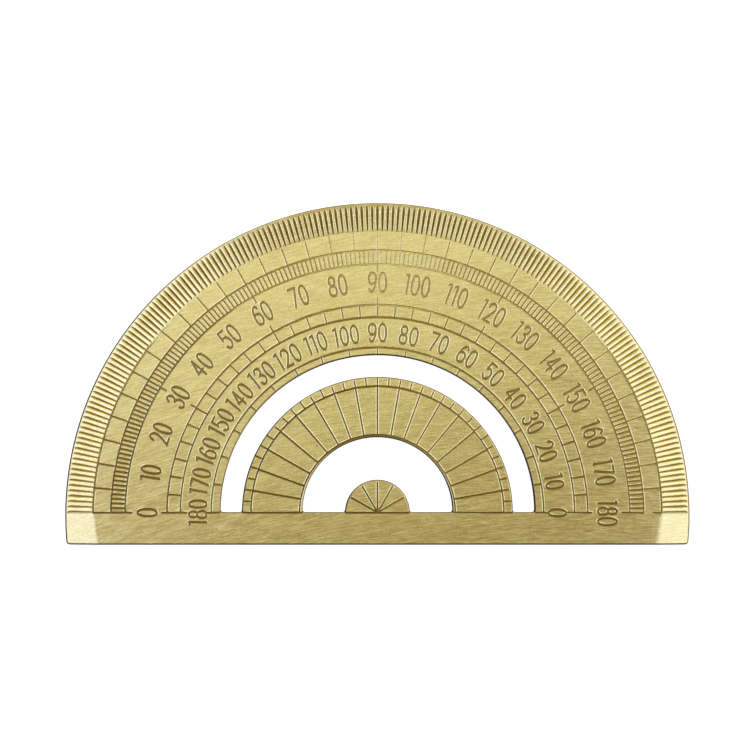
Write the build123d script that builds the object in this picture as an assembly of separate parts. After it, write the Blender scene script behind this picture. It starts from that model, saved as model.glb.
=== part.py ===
from build123d import *
import math
import os

# Half-round brass protractor: one flat plate, pierced by two arc-shaped windows and graduated
# on its upper face. Millimetres. +Z is up, the underside lies on z = 0, the base line
# (0-180 degrees) is the X axis and the vertex of the angle scales is the origin.
#
# The plate is written as four regions of the one blank, which meet face to face:
#   base_bar          everything below the base line, with the straight edge
#   outer_scale_arc   the wide half ring with the reeded rim and both numbered scales
#   inner_scale_arc   the narrow half ring between the two windows
#   centre_fan        the half disc at the vertex

# ---------------------------------------------------------------- driving dimensions
RIM_R = 51.0            # radius of the round edge, so the plate is 102 wide
RIM_DROP = 0.52         # the round edge is struck from this far below the base line
BAR_DEPTH = 5.30        # base line to straight edge
CORNER_R = 0.60         # rounding of the two corners of the straight edge
THICK = 1.20            # plate thickness
BEVEL_R = 46.30         # the convex rim bevel starts here
EDGE_THICK = 0.62       # thickness left at the round edge

WINDOW1_OUT = 25.60     # outer window, large radius
WINDOW1_IN = 22.10      # outer window, small radius
WINDOW2_OUT = 12.22     # inner window, large radius
FAN_R = 5.30            # half disc at the vertex
WEB = 0.40              # corner webs in the windows, where the arcs stand on the bar

LINE_W = 0.20           # width of the engraved lines
LINE_DEPTH = 0.12       # depth of the engraved lines
REED_IN = 46.42         # the rim grooves run between these radii
REED_OUT = 50.40
REED_FLOOR_IN = 1.05    # height of the bottom of a rim groove at its inner end
REED_FLOOR_OUT = 0.48   # and at its outer end
REED_HALF = 0.40        # greatest half width of a rim groove
REED_WALL = 0.53        # its walls rise this much to the millimetre

# engraved circles of the outer arc: radius, and how far below the vertex each is struck
CIRCLE_REED = (46.29, 0.57)
CIRCLE_BOX = (43.41, 0.65)
CIRCLE_TICK = (41.14, 0.62)
CIRCLE_5OUT = (34.28, 0.39)
CIRCLE_5IN = (32.13, 0.28)
CIRCLE_10 = (27.10, 0.18)
TICK10_END = 25.90      # inner end of the 10 degree ticks
# the base line is engraved in lengths, from radius to radius, and leaves the numerals free
BASE_LEFT = ((0.0, 5.3), (11.75, 22.1), (25.72, 27.75), (31.05, 35.10), (40.05, 46.30))
BASE_RIGHT = ((0.0, 5.3), (11.75, 22.1), (25.72, 27.60), (31.05, 34.90), (39.85, 43.40), (45.00, 46.30))

# engraved circles of the inner arc
VANE_RIM = 20.60
VANE_IN = 12.68

# numerals: centre radius, height over all
OUTER_NUM = (37.50, 3.35)
INNER_NUM = (29.30, 3.10)
STROKE = 0.25           # width of the numeral strokes
NUM_GAP = 0.50          # gap between the centre lines of neighbouring numerals

TOP = THICK + 1.0       # cutters reach up to here
LINE_Z = THICK - LINE_DEPTH


# ---------------------------------------------------------------- helpers
def ring(radius, drop=0.0, width=LINE_W):
    band = Circle(radius + width / 2) - Circle(radius - width / 2)
    return extrude(Pos(0, -drop, LINE_Z) * band, TOP - LINE_Z)


def tick(angle, r_in, r_out, width=LINE_W):
    block = Pos((r_in + r_out) / 2, 0, (LINE_Z + TOP) / 2) * Box(r_out - r_in, width, TOP - LINE_Z)
    return Rot(0, 0, angle) * block


def on_circle(circle, angle):
    """Distance from the vertex to an engraved circle, along the ray at this angle."""
    radius, drop = circle
    s = math.sin(math.radians(angle))
    return -drop * s + math.sqrt(radius**2 - (drop * math.cos(math.radians(angle))) ** 2)


def strip(points, width):
    """A thin face along a smooth open stroke."""
    left, right = [], []
    last = len(points) - 1
    for i, (x, y) in enumerate(points):
        xa, ya = points[max(i - 1, 0)]
        xb, yb = points[min(i + 1, last)]
        d = math.hypot(xb - xa, yb - ya)
        nx, ny = -(yb - ya) / d * width / 2, (xb - xa) / d * width / 2
        left.append((x + nx, y + ny))
        right.append((x - nx, y - ny))
    side = Polyline if len(points) == 2 else Spline
    a = Line(*left) if side is Polyline else Spline(*left)
    b = Line(*right) if side is Polyline else Spline(*right)
    edges = [a, Line(left[-1], right[-1]), b, Line(right[0], left[0])]
    return make_face(edges)


def loop(cx, cy, rx, ry, width):
    return Pos(cx, cy) * (Ellipse(rx + width / 2, ry + width / 2) - Ellipse(rx - width / 2, ry - width / 2))


# numeral strokes in a unit box: ("loop", cx, cy, rx, ry) or ("line", points...)
GLYPHS = {
    "0": (1.00, [("loop", 0.5, 0.5, 0.5, 0.5)]),
    "1": (0.34, [("line", (0.34, 0.0), (0.34, 1.0)), ("line", (0.0, 0.955), (0.42, 0.985))]),
    "2": (1.00, [("line", (0.03, 0.76), (0.12, 0.90), (0.32, 0.985), (0.50, 1.0), (0.72, 0.975), (0.90, 0.88),
                  (0.97, 0.75), (0.90, 0.60), (0.72, 0.43), (0.45, 0.25), (0.20, 0.10), (0.0, -0.02)),
                 ("line", (-0.08, 0.0), (1.0, 0.0))]),
    "3": (0.98, [("line", (0.05, 0.82), (0.18, 0.94), (0.45, 1.0), (0.72, 0.96), (0.88, 0.84), (0.86, 0.70),
                  (0.70, 0.60), (0.40, 0.555)),
                 ("line", (0.40, 0.535), (0.74, 0.50), (0.97, 0.37), (0.98, 0.20), (0.80, 0.06), (0.48, 0.0),
                  (0.18, 0.05), (0.02, 0.18))]),
    "4": (1.05, [("line", (0.76, 1.03), (-0.02, 0.28)), ("line", (-0.06, 0.30), (1.0, 0.30)),
                 ("line", (0.72, 1.02), (0.72, 0.0))]),
    "5": (0.98, [("line", (0.06, 1.0), (0.96, 1.0)), ("line", (0.13, 1.03), (0.05, 0.52)),
                 ("line", (0.06, 0.56), (0.30, 0.635), (0.60, 0.62), (0.88, 0.51), (0.98, 0.34), (0.92, 0.16),
                  (0.70, 0.03), (0.42, 0.0), (0.18, 0.05), (0.02, 0.17))]),
    "6": (1.00, [("loop", 0.5, 0.30, 0.5, 0.30),
                 ("line", (0.92, 0.86), (0.80, 0.965), (0.60, 1.0), (0.36, 0.93), (0.16, 0.76), (0.03, 0.52),
                  (0.0, 0.30))]),
    "7": (1.00, [("line", (0.0, 1.0), (1.07, 1.0)), ("line", (1.0, 1.02), (0.42, 0.0))]),
    "8": (1.00, [("loop", 0.5, 0.765, 0.40, 0.235), ("loop", 0.5, 0.265, 0.5, 0.265)]),
    "9": (1.00, [("loop", 0.5, 0.70, 0.5, 0.30),
                 ("line", (1.0, 0.70), (0.97, 0.48), (0.84, 0.24), (0.64, 0.07), (0.40, 0.0), (0.20, 0.035),
                  (0.08, 0.14))]),
}
NUM_W = 1.15            # width of a 0, between stroke centres


def numeral(char, height):
    h = height - STROKE
    solids = []
    for kind, *data in GLYPHS[char][1]:
        if kind == "loop":
            cx, cy, rx, ry = data
            face = loop(cx * NUM_W, (cy - 0.5) * h, rx * NUM_W, ry * h, STROKE)
        else:
            face = strip([(x * NUM_W, (y - 0.5) * h) for x, y in data], STROKE)
        solids.append(extrude(Pos(0, 0, LINE_Z) * face, TOP - LINE_Z))
    whole = solids[0]
    for more in solids[1:]:
        whole = whole + more
    return whole


def label(text, angle, radius, blanks):
    widths = [GLYPHS[c][0] * NUM_W for c in text]
    total = sum(widths) + NUM_GAP * (len(text) - 1)
    x = -total / 2
    out = []
    for c, w in zip(text, widths):
        out.append(Rot(0, 0, angle - 90) * Pos(x, radius, 0) * blanks[c])
        x += w + NUM_GAP
    return out


def labels(angles, radius, height, value):
    blanks = {c: numeral(c, height) for c in sorted(set("".join(str(value(a)) for a in angles)))}
    out = []
    for a in angles:
        out += label(str(value(a)), a, radius, blanks)
    return out


def solids_of(tools):
    out = []
    for t in tools:
        out += list(t.solids())
    return out


# ---------------------------------------------------------------- the blank, seen from above
half_plane = Pos(0, 100) * Rectangle(240, 200)
below = Pos(0, -100) * Rectangle(240, 200)
disc = Pos(0, -RIM_DROP) * Circle(RIM_R)
outline = disc - Pos(0, -BAR_DEPTH - 100) * Rectangle(240, 200)
corners = [v for v in outline.vertices() if v.Y < -BAR_DEPTH + 0.01]
outline = fillet(corners, CORNER_R)


def web(radius, side, outside):
    """Corner web where a window's circular wall (this radius) meets the bar; side is +1 or -1 along X."""
    s = 1 if outside else -1
    a = (side * (math.sqrt(radius**2 - WEB**2)), WEB)
    b = (side * (radius + s * WEB), 0.0)
    mid = (side * (radius + s * 0.13), 0.14)
    core = (side * (radius - s * 0.3), -0.3)
    face = make_face([Line(a, core), Line(core, b), ThreePointArc(b, mid, a)])
    return face


outer_2d = (outline & half_plane) - Circle(WINDOW1_OUT)
inner_2d = ((Circle(WINDOW1_IN) - Circle(WINDOW2_OUT)) & half_plane)
fan_2d = Circle(FAN_R) & half_plane
for side in (-1, 1):
    outer_2d = outer_2d + (web(WINDOW1_OUT, side, False) & half_plane)
    inner_2d = inner_2d + (web(WINDOW1_IN, side, True) & half_plane)
    inner_2d = inner_2d + (web(WINDOW2_OUT, side, False) & half_plane)
    fan_2d = fan_2d + (web(FAN_R, side, True) & half_plane)
bar_2d = outline & below

# the metal that the rim bevel takes away: a convex fall from the top face to the round edge
slope_mid = (BEVEL_R + (RIM_R - BEVEL_R) * 0.55, THICK - (THICK - EDGE_THICK) * 0.43)
far_r = RIM_R + 2.0
far_z = EDGE_THICK - 0.36
bevel_profile = make_face([
    Spline((BEVEL_R, THICK), slope_mid, (RIM_R, EDGE_THICK), (far_r, far_z)),
    Line((far_r, far_z), (far_r, THICK + 1)),
    Line((far_r, THICK + 1), (BEVEL_R, THICK + 1)),
    Line((BEVEL_R, THICK + 1), (BEVEL_R, THICK)),
])
bevel = Pos(0, -RIM_DROP, 0) * revolve(Plane.XZ * bevel_profile, Axis.Z, 360)

# ---------------------------------------------------------------- cutters
outer_tools = [ring(*c) for c in (CIRCLE_REED, CIRCLE_BOX, CIRCLE_TICK, CIRCLE_5OUT, CIRCLE_5IN, CIRCLE_10)]
for a in range(1, 180):
    outer_tools.append(tick(a, on_circle(CIRCLE_TICK, a), on_circle(CIRCLE_BOX, a)))
for a in range(5, 180, 5):
    outer_tools.append(tick(a, on_circle(CIRCLE_BOX, a), on_circle(CIRCLE_REED, a)))
    outer_tools.append(tick(a, on_circle(CIRCLE_5IN, a), on_circle(CIRCLE_5OUT, a)))
for a in range(10, 180, 10):
    outer_tools.append(tick(a, TICK10_END, on_circle(CIRCLE_10, a)))
for a in range(30, 180, 30):
    outer_tools.append(tick(a, on_circle(CIRCLE_TICK, a) - 1.0, on_circle(CIRCLE_TICK, a)))
    outer_tools.append(tick(a, on_circle(CIRCLE_5OUT, a), on_circle(CIRCLE_5OUT, a) + 1.0))

base_lines = [tick(0, a, b) for a, b in BASE_RIGHT] + [tick(180, a, b) for a, b in BASE_LEFT]
outer_tools += [t for t in base_lines if t.center().X ** 2 > 24.0 ** 2]

# a rim groove is a V that falls outwards a little faster than the bevel does
flank = REED_HALF * REED_WALL
vee = make_face(Polyline((0, 0), (REED_HALF, flank), (REED_HALF, flank + 0.6), (-REED_HALF, flank + 0.6),
                         (-REED_HALF, flank), (0, 0)))
reed_run = Vector(REED_OUT - REED_IN, 0, REED_FLOOR_OUT - REED_FLOOR_IN)
reed = extrude(Pos(REED_IN, 0, REED_FLOOR_IN) * (Plane.YZ * vee), reed_run.length, dir=reed_run.normalized())
reeds = [Rot(0, 0, a) * reed for a in range(0, 181)]

tens = list(range(0, 181, 10))
outer_numbers = labels(tens, OUTER_NUM[0], OUTER_NUM[1], lambda a: 180 - a)
inner_numbers = labels(tens, INNER_NUM[0], INNER_NUM[1], lambda a: a)
edge_numbers = labels([0, 180], OUTER_NUM[0], OUTER_NUM[1], lambda a: 180 - a)
edge_numbers += labels([0, 180], INNER_NUM[0], INNER_NUM[1], lambda a: a)

inner_tools = [ring(VANE_RIM), ring(VANE_IN)]
for a in range(5, 180, 5):
    inner_tools.append(tick(a, VANE_RIM, WINDOW1_IN - 0.15))
for a in range(10, 180, 10):
    inner_tools.append(tick(a, VANE_IN, VANE_RIM))
inner_tools += [t for t in base_lines if 9.0 ** 2 < t.center().X ** 2 < 24.0 ** 2]

fan_tools = [tick(a, -0.1, FAN_R - 0.35) for a in range(30, 151, 30)]
fan_tools += [t for t in base_lines if t.center().X ** 2 < 9.0 ** 2]
bar_tools = list(base_lines)

# ---------------------------------------------------------------- the four regions
outer_scale_arc = extrude(outer_2d, THICK) - bevel
outer_scale_arc = outer_scale_arc - solids_of(reeds)
outer_scale_arc = outer_scale_arc - solids_of(outer_tools)
outer_scale_arc = outer_scale_arc - solids_of(outer_numbers + inner_numbers)

inner_scale_arc = extrude(inner_2d, THICK) - solids_of(inner_tools)
centre_fan = extrude(fan_2d, THICK) - solids_of(fan_tools)

base_bar = extrude(bar_2d, THICK) - bevel
base_bar = base_bar - solids_of(bar_tools + edge_numbers)

os.makedirs("parts", exist_ok=True)
for name, shape in (("base_bar", base_bar), ("outer_scale_arc", outer_scale_arc),
                    ("inner_scale_arc", inner_scale_arc), ("centre_fan", centre_fan)):
    found = shape.solids()
    solid = found[0] if len(found) == 1 else Compound(children=list(found))
    solid.label = name
    export_step(solid, "parts/" + name + ".step")
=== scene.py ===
import math
import random

import bpy
import numpy as np
from mathutils import Matrix, Vector
from mathutils.geometry import delaunay_2d_cdt


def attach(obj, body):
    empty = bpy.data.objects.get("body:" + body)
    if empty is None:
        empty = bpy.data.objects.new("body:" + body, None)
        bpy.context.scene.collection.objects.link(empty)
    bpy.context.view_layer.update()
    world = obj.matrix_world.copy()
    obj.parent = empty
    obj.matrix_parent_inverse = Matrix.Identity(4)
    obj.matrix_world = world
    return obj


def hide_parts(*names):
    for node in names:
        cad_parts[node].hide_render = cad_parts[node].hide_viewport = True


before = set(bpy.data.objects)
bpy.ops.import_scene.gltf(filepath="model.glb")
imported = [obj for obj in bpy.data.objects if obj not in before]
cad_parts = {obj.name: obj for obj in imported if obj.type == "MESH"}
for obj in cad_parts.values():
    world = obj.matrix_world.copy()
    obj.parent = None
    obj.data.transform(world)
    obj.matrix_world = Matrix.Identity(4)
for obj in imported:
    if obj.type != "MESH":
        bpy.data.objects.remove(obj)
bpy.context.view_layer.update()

# The visual model of the half-round brass protractor. Its stamped upper face is one relief, laid out in
# plan in millimetres, triangulated along the lines of every groove, and then cut along the base line into
# the four regions of the frame, which share the vertices where they meet.

rng = random.Random(7)

# ------------------------------------------------------------------ dimensions, millimetres
RIM_R, RIM_DROP = 51.0, 0.52
BAR = 5.30
CORNER_R = 0.60
THICK = 1.20
BEVEL_R = 46.30
EDGE_THICK = 0.62
W1_OUT, W1_IN = 25.60, 22.10
W2_OUT, FAN_R = 12.22, 5.30
WEB = 0.40                      # radius of the small rounds where the arcs meet the bar
ROUND = 0.28                    # rounding of the plate's upper edges
ROUND_LOW = 0.07                # and of its lower edges

C_REED = (46.29, 0.57)
C_BOX = (43.41, 0.65)
C_TICK = (41.14, 0.62)
C_5OUT = (34.28, 0.39)
C_5IN = (32.13, 0.28)
C_10 = (27.10, 0.18)
VANE_RIM, VANE_IN = 20.60, 12.68

OUTER_NUM = (37.50, 3.35)
INNER_NUM = (29.30, 3.10)
STROKE = 0.27
NUM_W, NUM_GAP, NUM_GAP_1 = 1.15, 0.54, 0.15

# groove profile: distance from the groove's edge -> height; the levels are where the mesh has lines
S_FOOT, S_CREST, S_MID, S_FLOOR = 0.15, 0.03, -0.015, -0.065
LIP = 0.035


def circle_at(circle, deg):
    r, d = circle
    a = math.radians(deg)
    return -d * math.sin(a) + math.sqrt(r * r - (d * math.cos(a)) ** 2)


def polar(r, deg):
    a = math.radians(deg)
    return (r * math.cos(a), r * math.sin(a))


# ------------------------------------------------------------------ strokes
# every engraved line is a stroke: ("ring", R, drop, w, depth) or ("seg", x0, y0, x1, y1, w, depth)
# or a numeral's polyline
rings = []      # (R, drop, width, depth)
for c, w, dep in ((C_REED, 0.15, 0.06), (C_BOX, 0.20, 0.13), (C_TICK, 0.20, 0.13), (C_5OUT, 0.20, 0.13),
                  (C_5IN, 0.20, 0.13), (C_10, 0.20, 0.13), ((VANE_RIM, 0.0), 0.20, 0.13), ((VANE_IN, 0.0), 0.20, 0.12)):
    rings.append((c[0], c[1], w, dep))

segs = []       # (angle, r_in, r_out, width, depth)


def tick(deg, r0, r1, w=0.19, dep=0.12, vary=0.12):
    k = 1.0 + rng.uniform(-vary, vary)
    segs.append((deg, r0, r1, w, dep * k))


for a in range(1, 180):
    tick(a, circle_at(C_TICK, a), circle_at(C_BOX, a), 0.21, 0.14, 0.18)
for a in range(5, 180, 5):
    tick(a, circle_at(C_BOX, a), circle_at(C_REED, a) - 0.02, 0.18, 0.11)
    tick(a, circle_at(C_5IN, a), circle_at(C_5OUT, a), 0.18, 0.12)
for a in range(10, 180, 10):
    tick(a, 25.90 + rng.uniform(-0.05, 0.05), circle_at(C_10, a), 0.18, 0.11)
for a in range(30, 180, 30):
    tick(a, circle_at(C_TICK, a) - 1.05, circle_at(C_TICK, a), 0.20, 0.13)
    tick(a, circle_at(C_5OUT, a), circle_at(C_5OUT, a) + 1.05, 0.20, 0.13)
for a in range(5, 180, 5):
    tick(a, VANE_RIM, 21.75 + rng.uniform(-0.06, 0.06), 0.18, 0.11)
for a in range(10, 180, 10):
    tick(a, VANE_IN, VANE_RIM, 0.20, 0.13)
for a in range(30, 180, 30):
    tick(a, 0.0, FAN_R - 0.42, 0.22, 0.12)
for a in (0, 180):              # the base line, which breaks off round the numerals
    if a == 180:
        tick(a, 40.05, circle_at(C_REED, a), 0.20, 0.13, 0.0)
        tick(a, 31.05, 35.10, 0.20, 0.13, 0.0)
        tick(a, 25.72, 27.75, 0.20, 0.13, 0.0)
    else:
        tick(a, 39.85, 43.40, 0.20, 0.13, 0.0)
        tick(a, 45.00, circle_at(C_REED, a), 0.20, 0.13, 0.0)
        tick(a, 31.05, 34.90, 0.20, 0.13, 0.0)
        tick(a, 25.72, 27.60, 0.20, 0.13, 0.0)
    tick(a, 11.75, 22.00, 0.20, 0.13, 0.0)
    tick(a, 0.0, FAN_R - 0.05, 0.22, 0.13, 0.0)


# ------------------------------------------------------------------ numerals
def ellipse(cx, cy, rx, ry, h, a0=90.0, a1=450.0, n=26, p=2.25):
    pts = []
    for i in range(n + 1):
        t = math.radians(a0 + (a1 - a0) * i / n)
        c, s = math.cos(t), math.sin(t)
        c = math.copysign(abs(c) ** (2.0 / p), c)
        s = math.copysign(abs(s) ** (2.0 / p), s)
        pts.append(((cx + rx * c) * NUM_W, (cy + ry * s - 0.5) * h))
    return pts


def smooth(points, h, n=5):
    """A smooth curve through the points (Catmull-Rom)."""
    P = [points[0]] + list(points) + [points[-1]]
    out = []
    for i in range(1, len(P) - 2):
        p0, p1, p2, p3 = P[i - 1], P[i], P[i + 1], P[i + 2]
        for j in range(n):
            t = j / n
            out.append(tuple(0.5 * ((2 * p1[k]) + (-p0[k] + p2[k]) * t + (2 * p0[k] - 5 * p1[k] + 4 * p2[k] - p3[k]) * t * t
                                    + (-p0[k] + 3 * p1[k] - 3 * p2[k] + p3[k]) * t ** 3) for k in (0, 1)))
    out.append(P[-1])
    return [(x * NUM_W, (y - 0.5) * h) for x, y in out]


def straight(points, h):
    return [(x * NUM_W, (y - 0.5) * h) for x, y in points]


def glyph(c, h):
    """Strokes of a numeral: polylines in millimetres, upright, about mid height, and its width."""
    if c == "0":
        return 1.0, [ellipse(0.5, 0.5, 0.5, 0.5, h, n=30)]
    if c == "1":
        return 0.34, [straight([(0.34, 0.0), (0.34, 1.0)], h), straight([(0.0, 0.945), (0.34, 0.985)], h)]
    if c == "2":
        return 1.0, [smooth([(0.03, 0.76), (0.14, 0.91), (0.36, 0.99), (0.62, 0.99), (0.86, 0.91), (0.97, 0.76),
                             (0.90, 0.60), (0.62, 0.37), (0.28, 0.15), (0.0, 0.0)], h, 3),
                     straight([(0.0, 0.0), (1.0, 0.0)], h)]
    if c == "3":
        return 0.98, [smooth([(0.06, 0.82), (0.20, 0.95), (0.47, 1.0), (0.75, 0.95), (0.88, 0.80), (0.76, 0.63),
                              (0.42, 0.545)], h, 3),
                      smooth([(0.42, 0.545), (0.80, 0.48), (0.98, 0.28), (0.84, 0.08), (0.48, 0.0), (0.17, 0.05),
                              (0.02, 0.18)], h, 3)]
    if c == "4":
        return 1.05, [straight([(0.72, 1.0), (0.0, 0.30), (1.02, 0.30)], h), straight([(0.72, 1.0), (0.72, 0.0)], h)]
    if c == "5":
        return 0.98, [straight([(0.95, 1.0), (0.12, 1.0), (0.06, 0.55)], h),
                      smooth([(0.06, 0.55), (0.34, 0.635), (0.70, 0.59), (0.96, 0.40), (0.95, 0.20), (0.74, 0.04),
                              (0.42, 0.0), (0.16, 0.055), (0.02, 0.17)], h, 3)]
    if c == "6":
        return 1.0, [ellipse(0.5, 0.30, 0.5, 0.30, h, a0=180.0, a1=540.0, n=24),
                     smooth([(0.92, 0.87), (0.76, 0.98), (0.52, 0.98), (0.24, 0.83), (0.06, 0.58), (0.0, 0.30)], h, 3)]
    if c == "7":
        return 1.0, [straight([(0.0, 1.0), (1.0, 1.0), (0.42, 0.0)], h)]
    if c == "8":
        return 1.0, [ellipse(0.5, 0.765, 0.40, 0.235, h, n=22), ellipse(0.5, 0.265, 0.5, 0.265, h, n=24)]
    return 1.0, [ellipse(0.5, 0.70, 0.5, 0.30, h, a0=0.0, a1=360.0, n=24),
                 smooth([(1.0, 0.70), (0.97, 0.46), (0.82, 0.21), (0.58, 0.04), (0.32, 0.01), (0.08, 0.13)], h, 3)]


numeral_strokes = []    # (points array, width, depth)


def label(text, deg, radius, height):
    h = height - STROKE
    parts = [glyph(c, h) for c in text]
    gaps = [NUM_GAP + (NUM_GAP_1 if c == "1" else 0.0) for c in text]
    total = sum(p[0] * NUM_W for p in parts) + sum(gaps[:-1])
    x = -total / 2
    lean = math.radians(deg - 90 + rng.uniform(-1.2, 1.2))
    cr, sr = math.cos(lean), math.sin(lean)
    px, py = polar(radius + rng.uniform(-0.06, 0.06), deg + rng.uniform(-0.12, 0.12))
    dep = 0.15 * (1 + rng.uniform(-0.15, 0.10))
    for (w, strokes), gap in zip(parts, gaps):
        for st in strokes:
            pts = [(px + (x + u) * cr - v * sr, py + (x + u) * sr + v * cr) for u, v in st]
            numeral_strokes.append((np.array(pts), STROKE, dep))
        x += w * NUM_W + gap


for a in range(0, 181, 10):
    label(str(180 - a), a, *OUTER_NUM)
    label(str(a), a, *INNER_NUM)


# ------------------------------------------------------------------ the relief as a height over the plan
def profile(s, width, depth):
    """Height of the groove profile at signed distance s from the groove's edge."""
    floor = -np.asarray(depth)
    z = np.zeros_like(s)
    lip = (s > S_CREST) & (s < S_FOOT)
    t = (S_FOOT - s) / (S_FOOT - S_CREST)
    z = np.where(lip, LIP * t * t * (3 - 2 * t), z)
    mid = 0.28 * floor
    t = (S_CREST - s) / (S_CREST - S_MID)
    z = np.where((s <= S_CREST) & (s > S_MID), LIP + (mid - LIP) * t ** 1.5, z)
    t = (S_MID - s) / (S_MID - S_FLOOR)
    z = np.where((s <= S_MID) & (s > S_FLOOR), mid + (floor - mid) * t, z)
    z = np.where(s <= S_FLOOR, floor * (1.0 + 0.10 * np.minimum(1.0, (S_FLOOR - s) / 0.05)), z)
    return z


reed_k = [1.0 + rng.uniform(-0.08, 0.08) for _ in range(181)]
REED_0, REED_1 = 46.42, 50.64   # the rim grooves run between these radii


def reed_half(rr):
    """Half width of the rim grooves along the bevel, by radius about the rim's centre."""
    u = np.clip((rr - REED_0) / (REED_1 - REED_0), 0.0, 1.0)
    grow = 0.25 + 0.145 * np.clip(u / 0.72, 0, 1)
    start = np.sqrt(np.clip(u / 0.05, 0, 1))
    fade = np.sqrt(np.clip(1.0 - ((u - 0.72) / 0.28).clip(0, 1) ** 4.0, 0, 1))
    return grow * start * fade


def reed_depth(q, half, rr):
    """Depth of a rim groove at 1 - q of its half width: a gently sloping flank, then the wall."""
    a, b, flank = 0.38, 0.50, 0.377
    wall = flank + (1 - flank) / (1 - (a + b) / 2)
    s = flank * q + (wall - flank) * np.where(q < b, np.maximum(q - a, 0) ** 2 / (2 * (b - a)), q - (a + b) / 2)
    u = np.clip((rr - REED_0) / (REED_1 - REED_0), 0.0, 1.0)
    rise = 1.0 - 0.5 * np.clip((u - 0.72) / 0.28, 0, 1) ** 1.5
    return s * half * rise * 0.53


def strength(x, y):
    """How strongly the marks are pressed in: fully at the left end of the scales, faintly about the top."""
    d = 180.0 - np.clip(np.degrees(np.arctan2(np.maximum(y, 0.0), x)), 0, 180)
    r = np.hypot(x, y)
    at = [0, 10, 30, 50, 70, 80, 90, 100, 112, 130, 150, 170, 180]
    rim = np.interp(d, at, [0.88, 0.84, 0.76, 0.60, 0.40, 0.26, 0.10, 0.20, 0.40, 0.47, 0.50, 0.64, 0.74])
    numbers = np.interp(d, at, [0.90, 0.84, 0.74, 0.64, 0.54, 0.42, 0.24, 0.28, 0.43, 0.54, 0.64, 0.80, 0.84])
    inner = np.interp(d, at, [0.78, 0.76, 0.74, 0.72, 0.70, 0.66, 0.58, 0.56, 0.58, 0.66, 0.74, 0.80, 0.84])
    vane = np.interp(d, at, [0.95, 0.95, 1.0, 0.95, 0.92, 0.90, 0.88, 0.82, 0.72, 0.66, 0.70, 0.85, 0.90])
    s = np.where(r > 40.6, rim, np.where(r > 33.3, numbers, np.where(r > 24.0, inner, vane)))
    return s


def bevel_start(y):
    return BEVEL_R + 0.10 * np.minimum(y, 0.0)


def bevel_soft(x, y):
    """Half width of the rounding at the inner edge of the rim bevel: it only shows on the bar."""
    return np.where(x < 0, 0.26, 0.50) * np.clip(0.12 - y, 0.12, 1.0)


def base_height(x, y):
    """Height of the top face before the marks are pressed in."""
    start = bevel_start(y)
    soft = bevel_soft(x, y)
    d = np.hypot(x, y + RIM_DROP) - start
    d = np.where(np.abs(d) < soft, (d + soft) ** 2 / (4 * soft), np.maximum(d, 0.0))
    u = np.clip(d / (RIM_R - start), 0, 1)
    return THICK - (THICK - EDGE_THICK) * (0.90 * u + 0.10 * u * u)


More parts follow.
